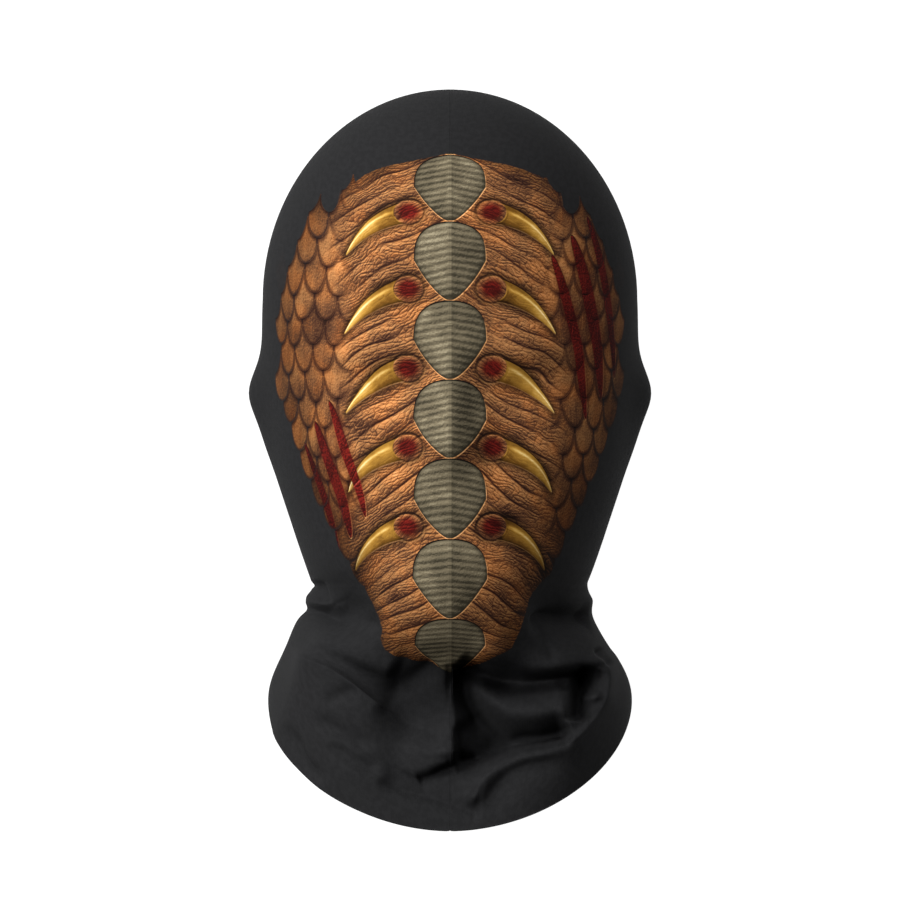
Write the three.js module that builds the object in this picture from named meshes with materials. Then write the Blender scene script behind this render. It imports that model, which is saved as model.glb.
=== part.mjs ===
// A full-cover stretch hood with a neck gaiter, sewn from two printed cloth panels.
// It lies on its back, crown away and collar near, filled out as it is when worn.
// Millimetres: +X is the viewer's right, +Y runs to the crown, +Z is the front of the face.
// The origin is on the floor under the middle of the hood's box.
import * as THREE from "three";

// The cloth
const clothThickness = 0.8;
const seamGap = 0.3;

// The skull cap is half of an ellipsoid above the temples.
const crown = { y: 68.5, half: 80.6, rise: 90.5, depth: 98, middle: 96 };

// Below it, level rings: height along the hood, half width, and the heights above the floor
// of the widest point, the front and the back. The first one only sets the slope at the temple.
const rings = [
  { y: 87.3, half: 78.8, middle: 96, front: 191.9, back: 0 },
  { y: crown.y, half: crown.half, middle: 96, front: 194, back: -2 },
  { y: 50, half: 80.8, middle: 96, front: 195, back: -1.5 },
  { y: 33, half: 80.2, middle: 95, front: 195, back: 1 },
  { y: 12, half: 78.4, middle: 95, front: 197, back: 7 },
  { y: -9, half: 74, middle: 97, front: 198, back: 21 },
  { y: -30, half: 67.4, middle: 102, front: 197, back: 38 },
  { y: -46, half: 62, middle: 107, front: 195.5, back: 48 },
  { y: -54.3, half: 59.4, middle: 110, front: 194, back: 51 },
  { y: -62, half: 57.5, middle: 112, front: 193, back: 53 },
];
const neck = rings[rings.length - 2];

// The collar fans out from the neck ring to a rim that dips at the front and at the back.
const rim = { sideY: -103.6, frontY: -159, backY: -132, half: 78.3, middle: 85, front: 180, back: -3 };
const napeCurve = 1.8; // above 1, the nape stays high for longer before it falls to the rim
const throat = { depth: 34, atSide: 0.2, atFront: 0.5, sharpness: 5, narrowing: 3 };
// How round the rings are: 1 is an ellipse, and the rim is flatter in front and behind
const roundness = { outward: { head: 0.96, rim: 1.06 }, forward: { head: 1, rim: 0.75 } };

// How finely each stretch is cut into facets
const facets = { crownRows: 7, headRows: 13, collarRows: 26, frontColumns: 18, backColumns: 8 };

// Soft rises and hollows where the cloth is drawn over a plain head form: place, spread and height
const swells = [
  { at: [0, 8, 200], spread: [12, 13, 40], height: 9 }, // nose
  { at: [0, 27, 200], spread: [9, 17, 40], height: 5 }, // bridge of the nose
  { at: [30, 47, 185], spread: [22, 9, 40], height: 2.5, mirrored: true }, // brow
  { at: [31, 30, 185], spread: [14, 9, 40], height: -2.5, mirrored: true }, // eye hollow
  { at: [40, 4, 175], spread: [17, 15, 40], height: 2.5, mirrored: true }, // cheek
  { at: [0, -24, 195], spread: [22, 8, 40], height: 2 }, // mouth
  { at: [0, -50, 195], spread: [20, 12, 40], height: 4 }, // chin
  { at: [84, 29, 92], spread: [30, 12.5, 22], height: 6.3, mirrored: true }, // ear
  { at: [80, 11, 95], spread: [30, 15, 20], height: 2.2, mirrored: true }, // below the ear
  { at: [-64, -69, 98], spread: [30, 11, 34], height: 2.6 }, // fullness at the left of the neck
  { at: [70, -77, 98], spread: [30, 13, 34], height: -1.2 }, // tuck at the right of the neck
  { at: [44, -64, 150], spread: [17, 12, 40], height: -9, mirrored: true }, // under the jaw
];

// Folds of the front of the collar, seen from the front: a path, the height of its crest
// (below zero for a hollow), the spread to its left and right, and how it fades at both ends.
// These stand straight forward, so each lies where its path is drawn.
const frontFolds = [
  { name: "seam ridge", path: [[1, -82], [1.6, -104], [2, -129]],
    height: 4, left: 5, right: 12, fade: [0.3, 0.1], crest: 1.2 },
  { name: "beside the seam", path: [[4.5, -86], [5.5, -95], [8, -104], [13, -112], [21, -117.5],
    [31, -119.5]],
    height: -13, left: 6, right: 5, fade: [0.08, 0.45], crest: 2 },
  { name: "crossing crease", path: [[-40, -100.5], [-46, -103], [-54, -106.5]],
    height: -2, left: 3, right: 3, fade: [0.2, 0.4], crest: 2 },
  { name: "grey groove", path: [[-34, -106], [-27, -110.5], [-15, -114.5], [-6, -118], [0, -120]],
    height: -4, left: 9, right: 5, fade: [0.2, 0.2], crest: 1.7 },
  { name: "under the right swag", path: [[2.2, -129], [8, -129], [14, -128], [20, -125.8],
    [30, -122.2], [40, -120.6], [53, -117]],
    height: -17, left: 7.5, right: 3, fade: [0.04, 0.12], crest: 1.5 },
  { name: "black triangle", path: [[3, -112], [9, -118], [17, -122], [28, -121]],
    height: -8, left: 6, right: 6, fade: [0.2, 0.4], crest: 2 },
  { name: "swag hem", path: [[24, -121], [31, -118.8], [40, -118.2], [52, -114.8]],
    height: -2, left: 1.6, right: 1.6, fade: [0.2, 0.1], crest: 2 },
  { name: "under the swag point", path: [[-14, -137.5], [-4, -133.4], [4, -130.6], [12, -128]],
    height: -3, left: 2, right: 3, fade: [0.04, 0.1], crest: 1.5 },
  { name: "swag crest", path: [[6, -90], [13, -99], [21, -104.5], [32, -107.5], [44, -107],
    [53, -103.5]],
    height: 5.5, left: 8, right: 8, fade: [0.2, 0.1], crest: 1.8 },
  { name: "hollow under the roll", path: [[3, -86], [11, -91], [21, -94.5], [32, -96], [43, -95],
    [54, -93], [63, -89.5]],
    height: -12, left: 3.5, right: 6, fade: [0.06, 0.15], crest: 1.8 },
  { name: "hollow under the chin", path: [[4, -86], [11, -90.5], [21, -94.5], [34, -96]],
    height: -6, left: 4, right: 4.5, fade: [0.1, 0.35], crest: 2 },
  { name: "roll crease", path: [[43, -73], [42.5, -80], [46, -87]],
    height: -1.6, left: 2.5, right: 2.5, fade: [0.3, 0.3], crest: 2 },
  { name: "pocket", path: [[60, -89], [57.5, -95], [55, -103], [54.5, -113]],
    height: -17, left: 4, right: 3, fade: [0.12, 0.12], crest: 2 },
  { name: "pocket lip", path: [[56, -102.2], [60, -102.3], [64, -100.5]],
    height: 4, left: 2, right: 2, fade: [0.2, 0.3], crest: 2 },
  { name: "outer lip", path: [[63, -82], [66.5, -92], [66, -100], [65, -107], [61, -112.5],
    [54, -119.5], [45, -123.5], [34, -125.5], [26, -128.5], [19, -132.5], [13.5, -138],
    [10.5, -144], [8, -149.5]],
    height: 6.5, left: 7, right: 3, fade: [0.1, 0.06], crest: 1.3 },
  { name: "hollow below the lip", path: [[12.5, -151], [15.5, -146], [20, -140], [25, -135],
    [32, -131.5], [42, -129.5], [54, -126]],
    height: -2.8, left: 3, right: 6, fade: [0.1, 0.3], crest: 2 },
  { name: "low crease", path: [[-33, -138], [-20, -142], [-9, -144.8], [1, -148], [9, -151],
    [13.5, -152]],
    height: -4.2, left: 7, right: 2.2, fade: [0.2, 0.06], crest: 1.2 },
];

// These stand out from the form itself, so they show in the outline as well.
const sideFolds = [
  { name: "long drape", path: [[-70, -82], [-60, -86], [-50, -91.5], [-41, -99], [-33, -106.5],
    [-25, -111.5], [-16, -115.5]],
    height: 8, left: 4.5, right: 20, fade: [0.25, 0.3], crest: 1.05 },
  { name: "jaw drape", path: [[-62, -76], [-48, -79], [-34, -84], [-20, -89]],
    height: 5, left: 6, right: 6.5, fade: [0.3, 0.15], crest: 2 },
  { name: "hollow beside the chin", path: [[-4, -87], [-11, -92.5], [-21, -98], [-34, -101]],
    height: -4, left: 4.5, right: 5, fade: [0.2, 0.4], crest: 1.8 },
  { name: "inner pleat", path: [[-58, -110], [-46, -117.5], [-32, -126]],
    height: -3, left: 3.5, right: 3, fade: [0.3, 0.3], crest: 2 },
  { name: "lower pleat", path: [[-52, -121], [-41, -129], [-28, -134.5]],
    height: -2.6, left: 3.5, right: 3, fade: [0.3, 0.3], crest: 2 },
  { name: "upper lip", path: [[64, -82], [66.5, -92], [66, -100], [63.5, -109]],
    height: 2.5, left: 5, right: 4, fade: [0.2, 0.3], crest: 1.6 },
  { name: "neck hollow", path: [[61, -65.5], [52, -68], [43, -71.5], [34, -76]],
    height: -5, left: 5, right: 3, fade: [0.05, 0.3], crest: 1.8 },
  { name: "right neck roll", path: [[64, -57], [60, -61], [52, -65]],
    height: 2.4, left: 4, right: 4, fade: [0.05, 0.4], crest: 1.8 },
  { name: "rim pleat", path: [[-70, -112], [-66, -120], [-61.5, -130], [-52, -139.5]],
    height: -3, left: 3, right: 3, fade: [0.3, 0.3], crest: 2 },
  { name: "left jaw line", path: [[-60.5, -62], [-57.5, -67], [-50, -71.5], [-40, -73.8], [-26, -75]],
    height: -5, left: 6, right: 2.4, fade: [0.1, 0.3], crest: 1.3 },
  { name: "left neck slit", path: [[-58, -52], [-57.3, -57], [-56.6, -62.5]],
    height: -2.6, left: 1.6, right: 1.6, fade: [0.2, 0.2], crest: 2 },
  { name: "left neck roll", path: [[-62, -57], [-58, -61], [-51, -65]],
    height: 1.8, left: 3, right: 3, fade: [0.05, 0.3], crest: 1.8 },
  { name: "right slit", path: [[64, -80], [65.5, -85], [68.5, -90]],
    height: -2, left: 1.8, right: 1.8, fade: [0.2, 0.25], crest: 2 },
];

// The back is plainer: two rolls across the nape and a drape on each side of the seam.
const backFolds = [
  { name: "nape roll", path: [[-54, -58], [-22, -68], [22, -69], [54, -60]],
    height: 3.2, left: 6, right: 5, fade: [0.2, 0.2], crest: 1.8 },
  { name: "upper nape roll", path: [[-56, -36], [-20, -44], [20, -43], [56, -35]],
    height: 2.2, left: 6, right: 5, fade: [0.25, 0.25], crest: 1.8 },
  { name: "left back drape", path: [[-62, -88], [-40, -98], [-14, -114]],
    height: 2.6, left: 5, right: 10, fade: [0.25, 0.25], crest: 1.7 },
  { name: "right back drape", path: [[64, -84], [42, -101], [10, -118]],
    height: 2.6, left: 10, right: 5, fade: [0.25, 0.25], crest: 1.7 },
];

// Swags that hang over the cloth below them: full to the left of an edge, nothing to its right
const swags = [
  { name: "swag point", edge: [[-62, -100], [-38, -122], [-24, -131.5], [-13, -136.6], [-4, -132.6],
    [1.6, -129], [2.4, -119], [2.4, -100], [2.4, -70]],
    height: 9, step: 1.2, centre: [-2, -126], spread: [17, 11] },
  { name: "right swag", edge: [[-14, -140], [6, -130], [18, -125], [30, -120.5], [40, -118.8],
    [53, -115.3], [64, -108], [95, -90]],
    height: 4, step: 1.8, centre: [34, -110], spread: [20, 9] },
  { name: "under the chin", edge: [[-20, -72], [2, -80], [12, -84.5], [23, -88.5], [31, -91.7],
    [40, -93], [60, -93]],
    height: 7, step: 1.6, centre: [17, -86], spread: [12, 9] },
  { name: "roll under jaw", edge: [[-20, -74], [10, -84], [23, -88.5], [31, -91.7], [40, -93],
    [50, -91.5], [62, -88.3], [95, -78]],
    height: 10, step: 1.6, centre: [46, -90], spread: [20, 12] },
];
const seamKeel = { height: 2.2, spread: 13, collar: [-90, -40], crown: [115, 159] };
const frontStarts = { from: 60, to: 105 }; // heights between which the front folds take over
const pathSteps = 55; // straight pieces along each path
const sameDistance = 1e-6;

const { lerp, clamp, smoothstep } = THREE.MathUtils;

// Value of one key of the rings at a place along them, on a smooth curve through all
function ringValue(key, place) {
  const first = Math.min(Math.floor(place), rings.length - 2);
  const t = place - first;
  const at = (i) => rings[clamp(i, 0, rings.length - 1)][key];
  const startSlope = (at(first + 1) - at(first - 1)) / 2;
  const endSlope = (at(first + 2) - at(first)) / 2;
  const rise = at(first + 1) - at(first);
  const cubic = startSlope + endSlope - 2 * rise;
  const square = 3 * rise - 2 * startSlope - endSlope;
  return ((cubic * t + square) * t + startSlope) * t + at(first);
}

// The skull cap's ring, from 0 at the pole to 1 at the temple
function crownRing(down) {
  const angle = (down * Math.PI) / 2;
  const reach = Math.sin(angle);
  return {
    y: crown.y + crown.rise * Math.cos(angle),
    half: crown.half * reach,
    middle: crown.middle,
    front: crown.middle + crown.depth * reach,
    back: crown.middle - crown.depth * reach,
  };
}

// The head's ring, from 0 at the temple to 1 at the neck
function headRing(down) {
  const place = 1 + down * (rings.length - 3);
  const keys = ["y", "half", "middle", "front", "back"];
  return Object.fromEntries(keys.map((key) => [key, ringValue(key, place)]));
}

// The collar's ring at one turn, from 0 at the neck to 1 at the rim
function collarRing(down, facing, isFront) {
  const ends = isFront ? rim.frontY : rim.backY;
  const drop = lerp(neck.y - rim.sideY, neck.y - ends, facing ** roundness.outward.rim);
  const deepest = lerp(throat.atSide, throat.atFront, facing ** 2);
  const reach = down / deepest;
  const pull = (reach * Math.exp(1 - reach)) ** throat.sharpness;
  return {
    y: neck.y - down * drop,
    half: lerp(neck.half, rim.half, Math.sin((down * Math.PI) / 2) ** 2),
    middle: lerp(neck.middle, rim.middle, down),
    front: lerp(neck.front, rim.front, down),
    back: lerp(neck.back, rim.back, down ** napeCurve),
    hollow: isFront ? throat.depth * facing ** throat.narrowing * pull : 0,
  };
}

// A point of the smooth form. turn goes from 0 at the front seam to PI at the back seam,
// row from 0 at the pole by way of 1 at the temple and 2 at the neck to 3 at the rim.
function formPoint(turn, row, side) {
  const facing = Math.abs(Math.cos(turn));
  const isFront = Math.cos(turn) >= 0;
  const inCollar = row > 2;
  const ring = row <= 1 ? crownRing(row)
    : inCollar ? collarRing(row - 2, facing, isFront) : headRing(row - 1);
  const power = ({ head, rim: low }) => lerp(head, low, clamp(row - 2, 0, 1));
  const outward = ring.half * Math.max(Math.sin(turn), 0) ** power(roundness.outward);
  const forward = facing ** power(roundness.forward);
  const end = isFront ? ring.front : ring.back;
  const z = ring.middle + (end - ring.middle) * forward - (ring.hollow ?? 0);
  return new THREE.Vector3(side * outward, ring.y, z);
}

// Nearest place on a path: its distance, which side of it the point is on, and how far along
function nearest(path, x, y) {
  let best = { distance: Infinity, across: 0, along: 0 };
  for (const piece of path) {
    const dx = x - piece.x;
    const dy = y - piece.y;
    const t = clamp((dx * piece.dx + dy * piece.dy) / piece.length ** 2, 0, 1);
    const distance = Math.hypot(dx - t * piece.dx, dy - t * piece.dy);
    const across = (piece.dx * dy - piece.dy * dx) / piece.length;
    const tied = Math.abs(distance - best.distance) < sameDistance;
    if (tied ? Math.abs(across) > Math.abs(best.across) : distance < best.distance)
      best = { distance, across, along: piece.start + t * piece.share };
  }
  return best;
}

// Straight pieces along a smooth curve through a path's points
function pathPieces(points) {
  const curve = new THREE.SplineCurve(points.map(([x, y]) => new THREE.Vector2(x, y)));
  const spots = curve.getPoints(pathSteps);
  const pieces = spots.slice(1).map((spot, i) => {
    const step = spot.clone().sub(spots[i]);
    return { x: spots[i].x, y: spots[i].y, dx: step.x, dy: step.y, length: step.length() };
  });
  const whole = pieces.reduce((sum, piece) => sum + piece.length, 0);
  let walked = 0;
  for (const piece of pieces) {
    piece.start = walked / whole;
    piece.share = piece.length / whole;
    walked += piece.length;
  }
  return pieces;
}
for (const fold of [...frontFolds, ...sideFolds, ...backFolds]) fold.pieces = pathPieces(fold.path);
for (const swag of swags) swag.pieces = pathPieces(swag.edge);

function foldHeight(fold, x, y) {
  const { distance, across, along } = nearest(fold.pieces, x, y);
  const spread = across > 0 ? fold.left : fold.right;
  const fade = smoothstep(along, 0, fold.fade[0]) * smoothstep(1 - along, 0, fold.fade[1]);
  return fold.height * Math.exp(-((distance / spread) ** fold.crest)) * fade;
}

function swagHeight(swag, x, y) {
  const { distance, across } = nearest(swag.pieces, x, y);
  const step = 1 / (1 + Math.exp((-2 * Math.sign(across) * distance) / swag.step));
  const offX = (x - swag.centre[0]) / swag.spread[0];
  const offY = (y - swag.centre[1]) / swag.spread[1];
  return swag.height * step * Math.exp(-(offX ** 2) - offY ** 2);
}

function swellHeight(swell, point) {
  const bump = (x) => {
    const offX = (point.x - x) / swell.spread[0];
    const offY = (point.y - swell.at[1]) / swell.spread[1];
    const offZ = (point.z - swell.at[2]) / swell.spread[2];
    return swell.height * Math.exp(-(offX ** 2) - offY ** 2 - offZ ** 2);
  };
  return bump(swell.at[0]) + (swell.mirrored ? bump(-swell.at[0]) : 0);
}

// How far the cloth stands off the smooth form at a point, outward and straight forward
function standOff(point) {
  const { x, y, z } = point;
  const isFront = smoothstep(z, frontStarts.from, frontStarts.to);
  const total = (list, height) => list.reduce((sum, item) => sum + height(item), 0);
  const swelling = total(swells, (swell) => swellHeight(swell, point));
  const front = total(frontFolds, (fold) => foldHeight(fold, x, y))
    + total(swags, (swag) => swagHeight(swag, x, y));
  const side = total(sideFolds, (fold) => foldHeight(fold, x, y));
  const back = total(backFolds, (fold) => foldHeight(fold, x, y));
  const keel = seamKeel.height * Math.exp(-Math.abs(x) / seamKeel.spread)
    * smoothstep(y, ...seamKeel.collar) * (1 - smoothstep(y, ...seamKeel.crown));
  return { outward: swelling + isFront * side + (1 - isFront) * back + keel, forward: isFront * front };
}

// A point of the finished outer face: the form, lifted by its folds, and pressed flat where it
// meets the floor
function clothPoint(turn, row, side) {
  const nudge = 1e-3; // a small step along the rows and turns, to find the way that is outward
  const point = formPoint(turn, row, side);
  const aroundStep = formPoint(Math.min(turn + nudge, Math.PI), row, side)
    .sub(formPoint(Math.max(turn - nudge, 0), row, side));
  const downStep = formPoint(turn, Math.min(Math.max(row, nudge) + nudge, 3), side)
    .sub(formPoint(turn, Math.max(row, 2 * nudge) - nudge, side));
  const outward = new THREE.Vector3().crossVectors(downStep, aroundStep).multiplyScalar(side);
  if (row === 0) outward.set(0, 1, 0);
  const lift = standOff(point);
  point.addScaledVector(outward.normalize(), lift.outward);
  point.z = Math.max(point.z + lift.forward, 0);
  return point;
}

function rowPlaces() {
  const { crownRows, headRows, collarRows } = facets;
  const stretch = (count, from) => Array.from({ length: count }, (_, i) => from + (i + 1) / count);
  return [0, ...stretch(crownRows, 0), ...stretch(headRows, 1), ...stretch(collarRows, 2)];
}

function columnTurns() {
  const { frontColumns, backColumns } = facets;
  const quarter = Math.PI / 2;
  const front = Array.from({ length: frontColumns }, (_, i) => (quarter * i) / frontColumns);
  const back = Array.from({ length: backColumns + 1 }, (_, i) => quarter * (1 + i / backColumns));
  return [...front, ...back];
}

// One panel: the outer face, the inner face a cloth thickness inside it, and the cut edges
// along the front seam, the back seam and the rim
function panelGeometry(side) {
  const rows = rowPlaces();
  const turns = columnTurns();
  const width = turns.length;
  const seamX = (side * seamGap) / 2;
  const outer = [];
  for (const row of rows)
    for (const turn of row === 0 ? [0] : turns) {
      const point = clothPoint(turn, row, side);
      const onSeam = turn === 0 || turn === Math.PI;
      point.x = onSeam ? seamX : side * Math.max(Math.abs(point.x), seamGap);
      outer.push(point);
    }
  const id = (row, column) => (row === 0 ? 0 : 1 + (row - 1) * width + column);

  const faces = [];
  const face = (a, b, c) => faces.push(side > 0 ? [a, b, c] : [a, c, b]);
  const skin = (start, inside) => {
    const put = (a, b, c) => {
      const [second, third] = inside ? [c, b] : [b, c];
      face(start + a, start + second, start + third);
    };
    for (let row = 0; row < rows.length - 1; row++)
      for (let column = 0; column < width - 1; column++) {
        const [a, b] = [id(row, column), id(row, column + 1)];
        const [c, d] = [id(row + 1, column), id(row + 1, column + 1)];
        put(a, c, d);
        if (row > 0) put(a, d, b);
      }
  };
  skin(0, false);
  const shape = new THREE.BufferGeometry().setFromPoints(outer);
  shape.setIndex(faces.flat());
  shape.computeVertexNormals();
  const normals = shape.getAttribute("normal");

  const inner = outer.map((point, i) => {
    const inward = new THREE.Vector3().fromBufferAttribute(normals, i).negate();
    const onSeam = point.x === seamX;
    if (onSeam) inward.setX(0).normalize();
    const moved = point.clone().addScaledVector(inward, clothThickness);
    moved.x = onSeam ? seamX : side * Math.max(Math.abs(moved.x), seamGap);
    moved.z = Math.max(moved.z, clothThickness);
    return moved;
  });
  const inside = outer.length;
  skin(inside, true);
  const edge = (a, b) => {
    face(a, b, inside + b);
    face(a, inside + b, inside + a);
  };
  const last = rows.length - 1;
  for (let row = 0; row < last; row++) {
    edge(id(row + 1, 0), id(row, 0));
    edge(id(row, width - 1), id(row + 1, width - 1));
  }
  for (let column = 0; column < width - 1; column++) edge(id(last, column + 1), id(last, column));

  const geometry = new THREE.BufferGeometry().setFromPoints([...outer, ...inner]);
  geometry.setIndex(faces.flat());
  geometry.computeVertexNormals();
  return geometry;
}

const printedCloth = new THREE.MeshStandardMaterial({ color: 0x4a3524, roughness: 0.85, metalness: 0 });

function panel(name, side) {
  const mesh = new THREE.Mesh(panelGeometry(side), printedCloth);
  mesh.name = name;
  return mesh;
}

const hood = new THREE.Group();
hood.name = "hood";
hood.add(panel("left_panel", -1), panel("right_panel", 1));

export default hood;
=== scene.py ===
import math
import bpy
import numpy as np
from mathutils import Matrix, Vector


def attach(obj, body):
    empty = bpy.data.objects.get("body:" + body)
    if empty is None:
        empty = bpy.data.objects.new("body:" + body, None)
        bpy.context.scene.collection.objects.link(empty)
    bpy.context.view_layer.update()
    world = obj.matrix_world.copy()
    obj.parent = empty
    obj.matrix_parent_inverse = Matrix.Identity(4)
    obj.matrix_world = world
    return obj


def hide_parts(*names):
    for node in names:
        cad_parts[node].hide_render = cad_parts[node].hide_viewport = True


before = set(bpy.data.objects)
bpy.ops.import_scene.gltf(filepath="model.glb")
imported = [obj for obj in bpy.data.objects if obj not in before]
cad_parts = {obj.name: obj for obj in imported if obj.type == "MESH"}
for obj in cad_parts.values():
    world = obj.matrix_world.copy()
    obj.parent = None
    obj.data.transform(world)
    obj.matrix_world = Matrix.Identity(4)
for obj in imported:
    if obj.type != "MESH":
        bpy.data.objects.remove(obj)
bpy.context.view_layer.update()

print("frame loaded:", len(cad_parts), "nodes")

mm = 0.001

# The camera looks straight down on the hood, as the photograph looks at its front, and from far
# off, so that near parts are drawn hardly larger. The picture's width is that at the middle height.
viewer = {
    "height": 16.0, "over": (0.0, 0.0039), "middleHeight": 0.1, "pictureWidth": 0.387,
    "sensor": 36.0, "farthest": 100,
}


def makeCamera():
    lens = bpy.data.cameras.new("viewer")
    lens.sensor_width = viewer["sensor"]
    lens.lens = viewer["sensor"] * (viewer["height"] - viewer["middleHeight"]) / viewer["pictureWidth"]
    lens.clip_end = viewer["farthest"]
    camera = bpy.data.objects.new("viewer", lens)
    camera.location = (*viewer["over"], viewer["height"])
    bpy.context.scene.collection.objects.link(camera)
    bpy.context.scene.camera = camera


makeCamera()
print("camera placed")

# The smooth form of the filled-out hood, in millimetres, as the two CAD panels have it
form = {
    "crown": {"y": 68.5, "half": 80.6, "rise": 90.5, "depth": 98.0, "middle": 96.0},
    # Place along the hood, half width, and the heights of the widest point, the front and the back.
    # The first and the last ring only guide the curve.
    "rings": [
        (87.3, 78.8, 96, 191.9, 0), (68.5, 80.6, 96, 194, -2), (50, 80.8, 96, 195, -1.5),
        (33, 80.2, 95, 195, 1), (12, 78.4, 95, 197, 7), (-9, 74, 97, 198, 21),
        (-30, 67.4, 102, 197, 38), (-46, 62, 107, 195.5, 48), (-54.3, 59.4, 110, 194, 51),
        (-62, 57.5, 112, 193, 53),
    ],
    "rim": {"sideY": -103.6, "frontY": -159.0, "backY": -132.0, "half": 78.3, "middle": 85.0,
            "front": 180.0, "back": -3.0, "backCurve": 1.8},
    "throat": {"depth": 34.0, "atSide": 0.2, "atFront": 0.5, "sharpness": 5, "narrowing": 3},
    # how full the rings are to the side and to the front, at the head and at the rim
    "outward": (0.96, 1.06),
    "forward": (1.0, 0.75),
}

# Rises where the cloth is drawn over a plain head: place, spread, height, mirrored
swells = [
    ((0, 8, 200), (12, 13, 40), 9, False),        # nose
    ((0, 27, 200), (9, 17, 40), 5, False),        # bridge of the nose
    ((30, 47, 185), (22, 9, 40), 2.5, True),      # brow
    ((31, 30, 185), (14, 9, 40), -2.5, True),     # eye hollow
    ((40, 4, 175), (17, 15, 40), 2.5, True),      # cheek
    ((0, -24, 195), (22, 8, 40), 2, False),       # mouth
    ((0, -50, 195), (20, 12, 40), 4, False),      # chin
    ((84, 29, 92), (30, 12.5, 22), 6.3, True),    # ear
    ((80, 11, 95), (30, 15, 20), 2.2, True),      # below the ear
    ((-64, -69, 98), (30, 11, 34), 2.6, False),   # fullness at the left of the neck
    ((70, -77, 98), (30, 13, 34), -1.2, False),   # tuck at the right of the neck
    ((44, -64, 150), (17, 12, 40), -9, True),     # under the jaw
]

# Folds: path seen from the front, height, spread to the left and right of it, fades, crest.
# These stand straight forward, so each lies where its path is drawn.
frontFolds = {
    "seam ridge": ([(1, -82), (1.6, -104), (2, -129)], 4, 5, 12, (0.3, 0.1), 1.2),
    "beside the seam": ([(4.5, -86), (5.5, -95), (8, -104), (13, -112), (21, -117.5), (31, -119.5)],
                        -13, 6, 5, (0.08, 0.45), 2),
    "crossing crease": ([(-40, -100.5), (-46, -103), (-54, -106.5)], -2, 3, 3, (0.2, 0.4), 2),
    "grey groove": ([(-34, -106), (-27, -110.5), (-15, -114.5), (-6, -118), (0, -120)],
                    -4, 9, 5, (0.2, 0.2), 1.7),
    "under the right swag": ([(2.2, -129), (8, -129), (14, -128), (20, -125.8), (30, -122.2),
                              (40, -120.6), (53, -117)], -17, 7.5, 3, (0.04, 0.12), 1.5),
    "black triangle": ([(3, -112), (9, -118), (17, -122), (28, -121)], -8, 6, 6, (0.2, 0.4), 2),
    "swag hem": ([(24, -121), (31, -118.8), (40, -118.2), (52, -114.8)], -2, 1.6, 1.6, (0.2, 0.1), 2),
    "under the swag point": ([(-14, -137.5), (-4, -133.4), (4, -130.6), (12, -128)],
                             -3, 2, 3, (0.04, 0.1), 1.5),
    "swag crest": ([(6, -90), (13, -99), (21, -104.5), (32, -107.5), (44, -107), (53, -103.5)],
                   5.5, 8, 8, (0.2, 0.1), 1.8),
    "hollow under the roll": ([(3, -86), (11, -91), (21, -94.5), (32, -96), (43, -95), (54, -93),
                               (63, -89.5)], -12, 3.5, 6, (0.06, 0.15), 1.8),
    "hollow under the chin": ([(4, -86), (11, -90.5), (21, -94.5), (34, -96)],
                              -6, 4, 4.5, (0.1, 0.35), 2),
    "roll crease": ([(43, -73), (42.5, -80), (46, -87)], -1.6, 2.5, 2.5, (0.3, 0.3), 2),
    "pocket": ([(60, -89), (57.5, -95), (55, -103), (54.5, -113)], -17, 4, 3, (0.12, 0.12), 2),
    "pocket lip": ([(56, -102.2), (60, -102.3), (64, -100.5)], 4, 2, 2, (0.2, 0.3), 2),
    "outer lip": ([(63, -82), (66.5, -92), (66, -100), (65, -107), (61, -112.5), (54, -119.5),
                   (45, -123.5), (34, -125.5), (26, -128.5), (19, -132.5), (13.5, -138), (10.5, -144),
                   (8, -149.5)], 6.5, 7, 3, (0.1, 0.06), 1.3),
    "hollow below the lip": ([(12.5, -151), (15.5, -146), (20, -140), (25, -135), (32, -131.5),
                              (42, -129.5), (54, -126)], -2.8, 3, 6, (0.1, 0.3), 2),
    "low crease": ([(-33, -138), (-20, -142), (-9, -144.8), (1, -148), (9, -151), (13.5, -152)],
                   -4.2, 7, 2.2, (0.2, 0.06), 1.2),
}
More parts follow.
